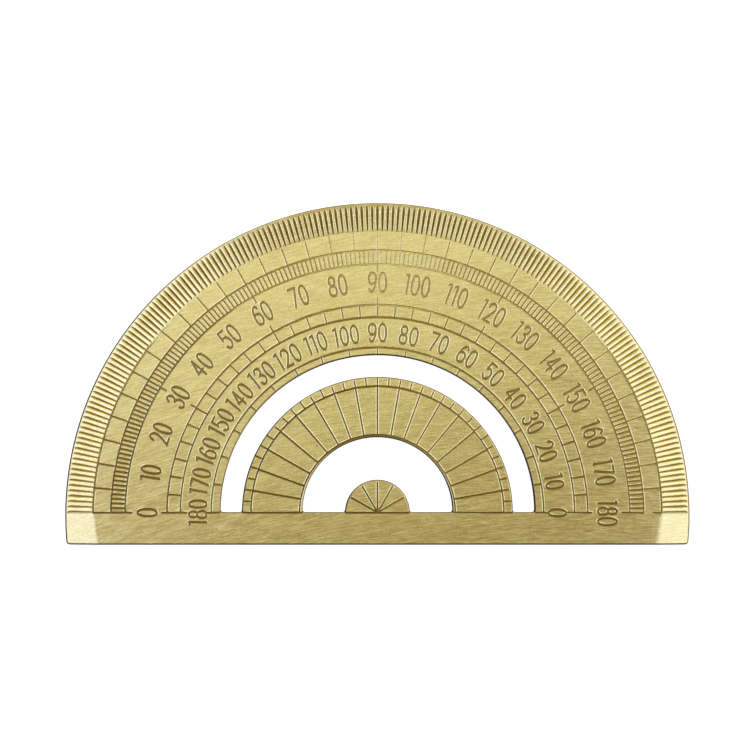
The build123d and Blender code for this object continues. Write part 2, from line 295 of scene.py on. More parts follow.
def height(x, y):
    """Height of the top face, the painted shade in the grooves and the painted highlight on the rim ridges, for arrays
    of plan positions.
    """
    n = len(x)
    best = np.full(n, 9.0)          # distance outside the nearest groove's edge
    dep = np.full(n, 0.12)
    wid = np.full(n, 0.20)

    def take(s, w, d):
        nonlocal best, dep, wid
        m = s < best
        best = np.where(m, s, best)
        dep = np.where(m, d, dep)
        wid = np.where(m, w, wid)

    r = np.hypot(x, y)
    th = np.degrees(np.arctan2(y, x))
    th = np.where(y < 0, np.where(x > 0, 0.0, 180.0), th)
    for R, d, w, de in rings:
        arc = np.abs(np.hypot(x, y + d) - R)
        end = np.hypot(np.abs(x) - R, y)
        gone = 0.4 * np.clip((y / r - 0.55) / 0.3, 0, 1) if (R, d) == C_REED else 0.0    # it dies away about the top
        if (R, d) == C_TICK:
            gone = 0.05 * np.clip((y / r - 0.75) / 0.2, 0, 1)
        take(np.where(y >= 0, arc, end) - w / 2 + gone, w, de)
    for deg, r0, r1, w, de in segs:
        a = math.radians(deg)
        m = np.nonzero((np.abs(th - deg) < 1.2) & (r > r0 - 0.5) & (r < r1 + 0.5) | (r < 5.6) & (r1 < 6))[0]
        if not len(m):
            continue
        u = x[m] * math.cos(a) + y[m] * math.sin(a)
        v = -x[m] * math.sin(a) + y[m] * math.cos(a)
        du = np.maximum(np.maximum(r0 - u, u - r1), 0)
        s = np.full(n, 9.0)
        s[m] = np.hypot(du, v) - w / 2
        take(s, w, de)
    for pts, w, de in numeral_strokes:
        lo, hi = pts.min(0) - 0.5, pts.max(0) + 0.5
        m = np.nonzero((x > lo[0]) & (x < hi[0]) & (y > lo[1]) & (y < hi[1]))[0]
        if not len(m):
            continue
        P = np.stack([x[m], y[m]], 1)[:, None, :]
        A, B = pts[:-1][None], pts[1:][None]
        AB = B - A
        t = np.clip(((P - A) * AB).sum(2) / np.maximum((AB * AB).sum(2), 1e-12), 0, 1)
        d = np.linalg.norm(P - A - t[..., None] * AB, axis=2).min(1)
        s = np.full(n, 9.0)
        s[m] = d - w / 2
        take(s, w, de)
    press = strength(x, y)
    z = profile(best, wid, dep)
    z = z * np.where(z > 0, 0.05 + 0.95 * press, 0.15 + 0.85 * press)
    # rim grooves
    rr = np.hypot(x, y + RIM_DROP)
    k = np.clip(np.round(th), 0, 180).astype(int)
    a = np.radians(k.astype(float))
    v = np.abs(-x * np.sin(a) + y * np.cos(a))
    full = reed_half(rr) * np.array(reed_k)[k]
    half = np.where(y < -1e-6, 0.05, full)
    inside = (rr > REED_0) & (rr < REED_1) & (full > 0.01)
    q = np.where(inside, np.clip(1.0 - v / np.maximum(half, 1e-3), 0, 1), 0.0)
    z_reed = -reed_depth(q, full, rr) * (0.72 + 0.28 * np.sin(a) ** 2)
    # painted shade: the marks' walls and floors darkened, more where they are pressed harder
    groove_shade_mask = np.clip((0.018 - best) / 0.06, 0, 1) * (0.26 + 0.66 * press)
    # painted shade in the rim grooves: darkest about the top, lighter towards the ends and the outer edge, as the side
    # lights fall
    turn = 180.0 - np.clip(th, 0, 180)
    at = [0, 20, 40, 60, 80, 100, 120, 140, 160, 180]
    reed_shade = np.interp(turn, at, [0.58, 0.74, 0.95, 0.96, 0.96, 0.95, 0.84, 0.58, 0.58, 0.60])
    from_q = np.interp(turn, at, [2.5, 2.35, 2.0, 1.75, 1.65, 1.55, 1.75, 2.2, 2.4, 2.5])
    u = np.clip((rr - REED_0) / (REED_1 - REED_0), 0, 1)
    reed_shade = reed_shade * (1.0 - 0.5 * np.clip((u - 0.5) / 0.5, 0, 1) ** 1.5 * np.sin(np.radians(turn)) ** 2)
    groove_shade_mask = np.maximum(groove_shade_mask, np.clip(q * 4.0 - from_q, 0, 1) * reed_shade)
    # painted highlight: the crests of the rim ridges lighter about the top
    crest_highlight = np.where((rr > REED_0 + 0.3) & (rr < REED_1 - 0.3), np.clip(1.0 - q * 5.0, 0, 1), 0.0)
    crest_highlight = crest_highlight * np.sin(np.radians(turn)) ** 2
    return base_height(x, y) + z + z_reed, groove_shade_mask, crest_highlight


# ------------------------------------------------------------------ the plan: points and lines to triangulate
V, E = [], []


def line(points, closed=False):
    i0 = len(V)
    V.extend((float(p[0]), float(p[1])) for p in points)
    n = len(points)
    E.extend((i0 + i, i0 + i + 1) for i in range(n - 1))
    if closed:
        E.append((i0 + n - 1, i0))


def arc(cx, cy, r, a0, a1, step):
    n = max(1, int(math.ceil(abs(a1 - a0) / step)))
    return [(cx + r * math.cos(math.radians(a0 + (a1 - a0) * i / n)), cy + r * math.sin(math.radians(a0 + (a1 - a0) * i / n)))
            for i in range(n + 1)]


def fillet_centre(radius, inside, side):
    """Centre of the small round in the corner between a circular wall and the bar's upper edge, on the open side."""
    cy = WEB
    reach = radius - WEB if inside else radius + WEB
    return side * math.sqrt(reach ** 2 - cy ** 2), cy


def window(r_out, r_in, inset):
    """Closed outline of a window, moved into the metal by inset."""
    pts = []
    ro = r_out + inset
    ri = r_in - inset
    f = WEB + inset
    cx, cy = fillet_centre(r_out, True, 1)
    t = math.degrees(math.atan2(cy, cx))
    pts += arc(0, 0, ro, t, 180 - t, 1.25 if r_out > 20 else 2.0)
    pts += arc(-cx, cy, f, 180 - t, 270, 18)[1:]
    cx2, cy2 = fillet_centre(r_in, False, 1)
    t2 = math.degrees(math.atan2(cy2, cx2))
    pts += arc(-cx2, cy2, f, 270, 360 - t2, 18)[0 if cx - cx2 > 0.02 else 1:]
    pts += arc(0, 0, ri, 180 - t2, t2, 1.25 if r_in > 20 else 4.0)[1:]
    pts += arc(cx2, cy2, f, 180 + t2, 270, 18)[1:]
    pts += arc(cx, cy, f, 270, 360 + t, 18)[0:]
    out = [pts[0]]
    for p in pts[1:]:
        if math.hypot(p[0] - out[-1][0], p[1] - out[-1][1]) > 0.02:
            out.append(p)
    if math.hypot(out[0][0] - out[-1][0], out[0][1] - out[-1][1]) < 0.02:
        out.pop()
    return out


def seam_end(inset):
    return math.sqrt((RIM_R - inset) ** 2 - RIM_DROP ** 2)


def outline(inset):
    R = RIM_R - inset
    c = CORNER_R - inset
    # corner circle: inside the rim circle and above the straight edge
    cy = -BAR + CORNER_R
    cx = math.sqrt((RIM_R - CORNER_R) ** 2 - (cy + RIM_DROP) ** 2)
    t = math.degrees(math.atan2(cy + RIM_DROP, cx))
    a0 = math.degrees(math.asin(RIM_DROP / R))      # where the round edge crosses the base line
    pts = arc(0, -RIM_DROP, R, t, a0, 0.5)[:-1] + [(seam_end(inset), 0.0)]
    pts += arc(0, -RIM_DROP, R, a0, 180 - a0, 0.5)[1:-1] + [(-seam_end(inset), 0.0)]
    pts += arc(0, -RIM_DROP, R, 180 - a0, 180 - t, 0.5)[1:]
    pts += arc(-cx, cy, c, 180 - t, 270, 11)[1:]
    pts += [(-cx + (2 * cx) * i / 60, -BAR + inset) for i in range(1, 60)]
    pts += arc(cx, cy, c, 270, 360 + t, 11)[:-1]
    return pts


def inside_metal(x, y):
    """True in the top face's region, inset from the plate's edges."""
    r = np.hypot(x, y)
    ok = (np.hypot(x, y + RIM_DROP) < RIM_R - ROUND + 1e-6) & (y > -BAR + ROUND - 1e-6)
    for ro, ri in ((W1_OUT, W1_IN), (W2_OUT, FAN_R)):
        hole = (r < ro + ROUND) & (r > ri - ROUND) & (y > -ROUND)
        for rad, ins in ((ro, True), (ri, False)):
            cx, cy = fillet_centre(rad, ins, 1)
            t = math.atan2(cy, cx)
            ax = np.abs(x)
            if ins:
                zone = (y < cy) & (ax > cx) | ((np.arctan2(y, ax) < t) & (ax > cx - 0.0) & (y < cy + 0.001))
            else:
                zone = (y < cy) & (ax < cx) & (r < rad + WEB + 0.2)
            corner = zone & (np.hypot(ax - cx, y - cy) > WEB + ROUND)
            hole = hole & ~corner
        ok = ok & ~hole
    return ok


EDGE_LOOPS = [outline(ROUND), window(W1_OUT, W1_IN, ROUND), window(W2_OUT, FAN_R, ROUND)]
for lp in EDGE_LOOPS:
    line(lp, closed=True)
line([(-seam_end(ROUND), 0.0), (seam_end(ROUND), 0.0)])

levels = lambda w: [s + w / 2 for s in (S_FOOT, S_CREST, S_MID, S_FLOOR)]

# the bevel where it runs out over the ends of the bar
for side in (-1, 1):
    for part, frac in ((-1.0, 0), (-0.5, 0), (0.0, 0), (0.5, 0), (1.0, 0), (0, 0.26), (0, 0.42), (0, 0.58), (0, 0.74), (0, 0.90)):
        path = []
        for i in range(15):
            y = -(BAR - ROUND) * i / 14
            start = float(bevel_start(y))
            rr = start + part * float(bevel_soft(side, y)) + frac * (RIM_R - start)
            path.append((side * math.sqrt(rr * rr - (y + RIM_DROP) ** 2), y))
        ok = inside_metal(np.array([p[0] for p in path]), np.array([p[1] + (1e-4 if i == 14 else -1e-4) for i, p in enumerate(path)]))
        path = [p for p, k in zip(path, ok) if k]
        line(path)

# rings
for R, d, w, de in rings:
    step = 1.0 if R > 30 else (1.25 if R > 15 else 2.5)
    for lv in levels(w):
        for rr in (R - lv, R + lv):
            a0 = math.degrees(math.asin(d / rr))
            line(arc(0, -d, rr, a0, 180 - a0, step))

# ticks
for deg, r0, r1, w, de in segs:
    a = math.radians(deg)
    ca, sa = math.cos(a), math.sin(a)
    on_base = deg in (0, 180)
    for lv in levels(w):
        b0, b1 = r0, r1
        cap0 = not on_base and r0 > 0.5 and any(abs(r0 - circle_at((R, d), deg)) < 0.03 for R, d, *_ in rings)
        cap1 = not on_base and any(abs(r1 - circle_at((R, d), deg)) < 0.03 for R, d, *_ in rings)
        pts = []
        lo = r0 + (0.05 if cap0 else 0.0)
        hi = r1 - (0.05 if cap1 else 0.0)
        if r0 < 0.5:
            lo, cap0 = lv * 1.2, True
        if cap0 and cap1:
            for sg in (-1, 1):
                line([(lo * ca - sg * lv * sa, lo * sa + sg * lv * ca), (hi * ca - sg * lv * sa, hi * sa + sg * lv * ca)])
            continue
        path = []
        if not cap1:
            start = (lo, -lv)
            path = [start] + [(hi + lv * math.cos(t), lv * math.sin(t)) for t in np.radians((-90, -45, 0, 45, 90))]
            if cap0:
                path.append((lo, lv))
            else:
                path += [(lo + lv * math.cos(t), lv * math.sin(t)) for t in np.radians((90, 135, 180, 225))]
                path = path[1:]
                path.append(path[0])
        else:
            path = [(hi, lv)] + [(lo + lv * math.cos(t), lv * math.sin(t)) for t in np.radians((90, 135, 180, 225, 270))] + [(hi, -lv)]
        if on_base:
            # the whole outline is kept; the seam runs along the groove's middle
            path = [(u, v) for u, v in path]
        line([(u * ca - v * sa, u * sa + v * ca) for u, v in path])

# numerals
for pts, w, de in numeral_strokes:
    closed = np.linalg.norm(pts[0] - pts[-1]) < 1e-6
    P = pts[:-1] if closed else pts
    n = len(P)
    if closed:
        tan = np.roll(P, -1, 0) - np.roll(P, 1, 0)
    else:
        tan = np.empty_like(P)
        tan[1:-1] = P[2:] - P[:-2]
        tan[0], tan[-1] = P[1] - P[0], P[-1] - P[-2]
    tan /= np.linalg.norm(tan, axis=1)[:, None]
    nor = np.stack([-tan[:, 1], tan[:, 0]], 1)
    for lv in levels(w):
        if closed:
            for sg in (-1, 1):
                line(P + sg * lv * nor, closed=True)
        else:
            # sharp corners inside a stroke: mitre by splitting the offset into runs
            left, right = P + lv * nor, P - lv * nor
            seg_t = P[1:] - P[:-1]
            seg_t = seg_t / np.linalg.norm(seg_t, axis=1)[:, None]
            sharp = [i for i in range(1, n - 1) if (seg_t[i - 1] * seg_t[i]).sum() < 0.8]
            cuts = [0] + sharp + [n - 1]
            for c0, c1 in zip(cuts[:-1], cuts[1:]):
                Q = P[c0:c1 + 1]
                tq = np.empty_like(Q)
                if len(Q) > 2:
                    tq[1:-1] = Q[2:] - Q[:-2]
                tq[0], tq[-1] = Q[1] - Q[0], Q[-1] - Q[-2]
                tq /= np.linalg.norm(tq, axis=1)[:, None]
                nq = np.stack([-tq[:, 1], tq[:, 0]], 1)
                capb = [tuple(Q[-1] + lv * (nq[-1] * math.cos(t) + tq[-1] * math.sin(t))) for t in np.radians((45, 90, 135))]
                capa = [tuple(Q[0] + lv * (-nq[0] * math.cos(t) - tq[0] * math.sin(t))) for t in np.radians((45, 90, 135))]
                line([tuple(p) for p in Q + lv * nq] + capb + [tuple(p) for p in (Q - lv * nq)[::-1]] + capa, closed=True)

# rim grooves: lines along each groove and each ridge
for k in range(0, 181):
    a = math.radians(k)
    ca, sa = math.cos(a), math.sin(a)
    rows = (46.50, 46.62, 46.9, 47.4, 48.0, 48.7, 49.4, 49.85, 50.2, 50.44, 50.58)
    for f in (-1.0, -0.62, -0.5, 0.0, 0.5, 0.62, 1.0):
        if (k == 0 and f < 0) or (k == 180 and f > 0):
            continue
        if f == 0.0 and k in (0, 180):
            continue
        pts = []
        for rr in rows:
            half = float(reed_half(np.array(rr))) * reed_k[k]
            v = f * half
            # radius along the ray for this rim radius
            u = math.sqrt(rr ** 2 - (RIM_DROP * ca) ** 2) - RIM_DROP * sa
            pts.append((u * ca - v * sa, u * sa + v * ca))
        if f != 0.0 and abs(f) > 0.9:
            tip0 = math.sqrt((REED_0 + 0.01) ** 2 - (RIM_DROP * ca) ** 2) - RIM_DROP * sa
            tip1 = math.sqrt((REED_1 - 0.01) ** 2 - (RIM_DROP * ca) ** 2) - RIM_DROP * sa
            pts = [(tip0 * ca, tip0 * sa)] + pts + [(tip1 * ca, tip1 * sa)]
        line(pts)
for rr in (47.6, 48.6, 49.5):
    a0 = math.degrees(math.asin(RIM_DROP / rr))
    line(arc(0, -RIM_DROP, rr, a0, 180 - a0, 0.5))

res = delaunay_2d_cdt([Vector(v) for v in V], E, [], 0, 2e-3)
plan = np.array([tuple(v) for v in res[0]])
tris = np.array([tuple(f) for f in res[2]])
plan[np.abs(plan[:, 1]) < 2.5e-3, 1] = 0.0
cen = plan[tris].mean(1)
tris = tris[inside_metal(cen[:, 0], cen[:, 1])]
d1, d2 = plan[tris[:, 1]] - plan[tris[:, 0]], plan[tris[:, 2]] - plan[tris[:, 0]]
flip = (d1[:, 0] * d2[:, 1] - d1[:, 1] * d2[:, 0]) < 0
tris[flip] = tris[flip][:, ::-1]
cen = plan[tris].mean(1)
top_z, groove, crest_highlight = height(plan[:, 0], plan[:, 1])
rad = np.hypot(cen[:, 0], cen[:, 1])
region = np.where(cen[:, 1] < 0, 0, np.where(rad > 24, 1, np.where(rad > 9, 2, 3)))


def border(faces):
    """Directed edges used once."""
    e = np.concatenate([faces[:, [0, 1]], faces[:, [1, 2]], faces[:, [2, 0]]])
    key = np.sort(e, 1)
    n = len(plan)
    code = key[:, 0].astype(np.int64) * n + key[:, 1]
    uniq, inv, cnt = np.unique(code, return_inverse=True, return_counts=True)
    return e[cnt[inv] == 1]


def outward(x, y):
    """Outward direction in plan at a point of the top face's border, from the nearest of the outline's curves."""
    found = []
    r = math.hypot(x, y)
    rr = math.hypot(x, y + RIM_DROP)
    found.append((abs(rr - (RIM_R - ROUND)), (x / rr, (y + RIM_DROP) / rr)))
    found.append((abs(y + BAR - ROUND), (0.0, -1.0)))
    found.append((abs(y + ROUND), (0.0, 1.0)))
    cy = -BAR + CORNER_R
    cx = math.copysign(math.sqrt((RIM_R - CORNER_R) ** 2 - (cy + RIM_DROP) ** 2), x)
    q = math.hypot(x - cx, y - cy)
    if y < cy and abs(x) > abs(cx):
        found.append((abs(q - (CORNER_R - ROUND)) - 1e-3, ((x - cx) / q, (y - cy) / q)))
    for ro, ri in ((W1_OUT, W1_IN), (W2_OUT, FAN_R)):
        if r > 1.0:
            found.append((abs(r - (ro + ROUND)), (-x / r, -y / r)))
            found.append((abs(r - (ri - ROUND)), (x / r, y / r)))
        for rad_, ins in ((ro, True), (ri, False)):
            cx, cy = fillet_centre(rad_, ins, 1)
            cx = math.copysign(cx, x)
            q = math.hypot(x - cx, y - cy)
            if y < cy + 0.01 and q > 0.2:
                found.append((abs(q - (WEB + ROUND)) - 1e-3, ((cx - x) / q, (cy - y) / q)))
    d, n = min(found)
    if d > 0.02:
        raise SystemExit("a border point is off the outline: %.3f %.3f" % (x, y))
    return np.array(n)


edge_dir = {}
for a, b in border(tris):
    for v in (int(a), int(b)):
        if v not in edge_dir:
            edge_dir[v] = outward(*plan[v])
plate_edge = set((int(a), int(b)) for a, b in border(tris))

STEPS = [(ROUND * math.sin(t), -ROUND * (1 - math.cos(t)), None) for t in np.radians((22.5, 45.0, 67.5, 90.0))]
STEPS += [(ROUND, None, ROUND_LOW)]
STEPS += [(ROUND - ROUND_LOW * (1 - math.cos(t)), None, ROUND_LOW * (1 - math.sin(t))) for t in np.radians((30.0, 60.0, 90.0))]


def build(name, which):
    faces = tris[region == which]
    used = np.unique(faces)
    index = {int(v): i for i, v in enumerate(used)}
    co = [(plan[v][0], plan[v][1], top_z[v]) for v in used]
    # painted shade in the grooves and on the edges, painted highlight on ridges and edges, and a painted dark line
    # along the edges
    painted_shade = [float(groove[v]) for v in used]
    painted_highlight = [1.3 * float(crest_highlight[v]) for v in used]
    painted_edge_shade = [0.0] * len(used)
    polys = [tuple(index[int(v)] for v in f) for f in faces]
    column, low = {}, {}

    def col(v):
        if v not in column:
            x, y = plan[v]
            nx, ny = edge_dir[v]
            side_shade = min(max(0.60 - 0.45 * nx - 0.35 * ny, 0.42), 1.0)      # painted shade: edges facing left and down darker, those facing right and up lighter, as the lights fall
            # painted shade: a near-black line along the edges facing left and down, and a faint one on those facing up
            edge_dark = min(1.0, max(0.0, -nx - 0.55) / 0.4) + 0.95 * min(1.0, max(0.0, -ny - 0.6) / 0.4)
            edge_dark += 0.30 * min(1.0, max(0.0, ny - 0.6) / 0.4)
            ids = [index[v]]
            for off, dz, z in STEPS:
                ids.append(len(co))
                co.append((x + nx * off, y + ny * off, top_z[v] + dz if z is None else z))
                painted_shade.append(max(float(groove[v]), side_shade * (off / ROUND)) if dz is not None else side_shade)
                # painted highlight: the rounded edges facing right and up lighter
                painted_highlight.append(1.0 - side_shade if (dz is not None and off < ROUND * 0.95) else 0.0)
                painted_edge_shade.append(edge_dark * min(1.0, 3.0 * off / ROUND) if dz is not None else 0.8 * edge_dark)
            column[v] = ids
        return column[v]

    def under(v):
        if v in column or v in edge_dir:
            return col(v)[-1]
        if v not in low:
            low[v] = len(co)
            co.append((plan[v][0], plan[v][1], 0.0))
            painted_shade.append(0.0)
            painted_highlight.append(0.0)
            painted_edge_shade.append(0.0)
        return low[v]

    rim = [(int(a), int(b)) for a, b in border(faces)]
    for a, b in rim:
        if (a, b) in plate_edge:
            ca_, cb_ = col(a), col(b)
            for j in range(len(ca_) - 1):
                polys.append((ca_[j], ca_[j + 1], cb_[j + 1], cb_[j]))
        else:
            down = col(a) if a in edge_dir else [index[a], under(a)]
            up = (col(b) if b in edge_dir else [index[b], under(b)])[::-1]
            ring_ = list(down) + list(up)
            # fan from the lower corner of whichever end is plain
            k = len(down) if b not in edge_dir else len(down) - 1
            ring_ = ring_[k:] + ring_[:k]
            for i in range(1, len(ring_) - 1):
                polys.append((ring_[0], ring_[i], ring_[i + 1]))
    # underside
    nxt = {a: b for a, b in rim}
    start = rim[0][0]
    loop, v = [start], nxt[start]
    while v != start:
        loop.append(v)
        v = nxt[v]
    if len(loop) != len(rim):
        raise SystemExit("%s: border is not one loop (%d of %d)" % (name, len(loop), len(rim)))
    ids = [under(v) for v in loop]
    pts = [Vector((co[i][0], co[i][1])) for i in ids]
    n = len(pts)
    out = delaunay_2d_cdt(pts, [(i, (i + 1) % n) for i in range(n)], [], 1, 1e-6)
    if any(len(o) != 1 for o in out[3]):
        raise SystemExit("%s: underside outline crosses itself near %s" % (name, [tuple(out[0][i]) for i, o in enumerate(out[3]) if len(o) != 1][:4]))
    back = [ids[o[0]] for o in out[3]]
    for f in out[2]:
        p, q, r = (out[0][i] for i in f)
        turn = (q - p).cross(r - p)
        f = [back[i] for i in f]
        polys.append(tuple(f[::-1]) if turn > 0 else tuple(f))

    me = bpy.data.meshes.new(name)
    me.from_pydata([(x * 0.001, y * 0.001, z * 0.001) for x, y, z in co], [], polys)
    me.update()
    for nm, vals in (("painted_shade", painted_shade), ("painted_highlight", painted_highlight), ("painted_edge_shade", painted_edge_shade)):
        at = me.attributes.new(nm, "FLOAT", "POINT")
        at.data.foreach_set("value", vals)
    shade(me)
    ob = bpy.data.objects.new(name, me)
    bpy.context.scene.collection.objects.link(ob)
    return ob


def base_normal(x, y):
    """The normal of the face that the marks are pressed into."""
    e = 0.01
    gx = (base_height(x + e, y) - base_height(x - e, y)) / (2 * e)
    gy = (base_height(x, y + e) - base_height(x, y - e)) / (2 * e)
    n = np.stack([-gx, -gy, np.ones_like(gx)], 1)
    return n / np.linalg.norm(n, axis=1)[:, None]


def shade(me, angle=38.0):
    """Corner normals. A plain part of the top face or the underside keeps its own normal up to its edges, and
    what rises from it starts from that normal; elsewhere it is the mean of the neighbours within the angle."""
    nl, npoly, nv = len(me.loops), len(me.polygons), len(me.vertices)
    fn = np.empty(npoly * 3); me.polygons.foreach_get("normal", fn); fn = fn.reshape(-1, 3)
    fc = np.empty(npoly * 3); me.polygons.foreach_get("center", fc); fc = fc.reshape(-1, 3) * 1000.0
    co = np.empty(nv * 3); me.vertices.foreach_get("co", co); co = co.reshape(-1, 3) * 1000.0
    fa = np.empty(npoly); me.polygons.foreach_get("area", fa)
    start = np.empty(npoly, int); me.polygons.foreach_get("loop_start", start)
    total = np.empty(npoly, int); me.polygons.foreach_get("loop_total", total)
    lv = np.empty(nl, int); me.loops.foreach_get("vertex_index", lv)
    lf = np.repeat(np.arange(npoly), total)
    bn = base_normal(fc[:, 0], fc[:, 1])
    on_top = np.abs(fc[:, 2] - base_height(fc[:, 0], fc[:, 1])) < 0.02
    flat = on_top & ((fn * bn).sum(1) > 0.9998)
    below = fn[:, 2] < -0.99999
    plain = flat | below
    lip = ~flat & (fn[:, 2] > 0.9) & (fc[:, 2] - base_height(fc[:, 0], fc[:, 1]) > 0.002)     # raised edge of a mark
    order = np.argsort(lv, kind="stable")
    sv, sf = lv[order], lf[order]
    first = np.searchsorted(sv, np.arange(nv))
    count = np.bincount(sv, minlength=nv)
    acc = np.zeros((nl, 3))
    acc_flat = np.zeros((nl, 3))
    acc_lip = np.zeros((nl, 3))
    cosA = math.cos(math.radians(angle))
    for k in range(int(count.max())):
        has = count[lv] > k
        other = sf[np.minimum(first[lv] + k, len(sf) - 1)]
        ok = has & ((fn[other] * fn[lf]).sum(1) > cosA)
        acc += np.where(ok[:, None], fn[other] * np.sqrt(fa[other])[:, None] * 1e3, 0.0)
        acc_lip += np.where((ok & lip[other])[:, None], fn[other] * np.sqrt(fa[other])[:, None] * 1e3, 0.0)
        acc_flat += np.where((ok & plain[other])[:, None], fn[other] * fa[other][:, None] * 1e6, 0.0)
    use = np.linalg.norm(acc_flat, axis=1) > 1e-9
    acc = np.where(use[:, None], acc_flat, acc)
    acc = np.where(lip[lf][:, None], acc_lip, acc)
    P = co[lv, :2]
    C = fc[lf, :2]
    D = C - P
    P = P + D / np.maximum(np.linalg.norm(D, axis=1), 1e-9)[:, None] * 0.03
    own = base_normal(P[:, 0], P[:, 1])
    acc = np.where(flat[lf][:, None], own, acc)
    acc = np.where(below[lf][:, None], np.array([0.0, 0.0, -1.0]), acc)
    ln = np.linalg.norm(acc, axis=1)
    acc = np.where(ln[:, None] > 1e-12, acc / np.maximum(ln, 1e-12)[:, None], fn[lf])
    me.polygons.foreach_set("use_smooth", np.ones(npoly, bool))
    me.normals_split_custom_set(acc.tolist())


pieces = {}
for i, node in enumerate(("base_bar", "outer_scale_arc", "inner_scale_arc", "centre_fan")):
    ob = build(node + "_brass", i)
    pieces[node] = ob
    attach(ob, "root")
    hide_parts(node)
    uv = ob.data.uv_layers.new(name="brush")
    nl = len(ob.data.loops)
    vi = np.empty(nl, int); ob.data.loops.foreach_get("vertex_index", vi)
    vc = np.empty(len(ob.data.vertices) * 3); ob.data.vertices.foreach_get("co", vc)
    vc = vc.reshape(-1, 3)[vi] / 0.104
    t = math.radians(9.0)
    uu = vc[:, 0] * math.cos(t) + vc[:, 1] * math.sin(t) + 0.02 * vc[:, 2]
    vv = -vc[:, 0] * math.sin(t) + vc[:, 1] * math.cos(t) + vc[:, 2]
    uv.data.foreach_set("uv", np.stack([uu + 0.5, vv + 0.2], 1).ravel())


# ------------------------------------------------------------------ materials
def nodes_of(mat):
    mat.use_nodes = True
    nt = mat.node_tree
    nt.nodes.clear()
    return nt, nt.nodes, nt.links


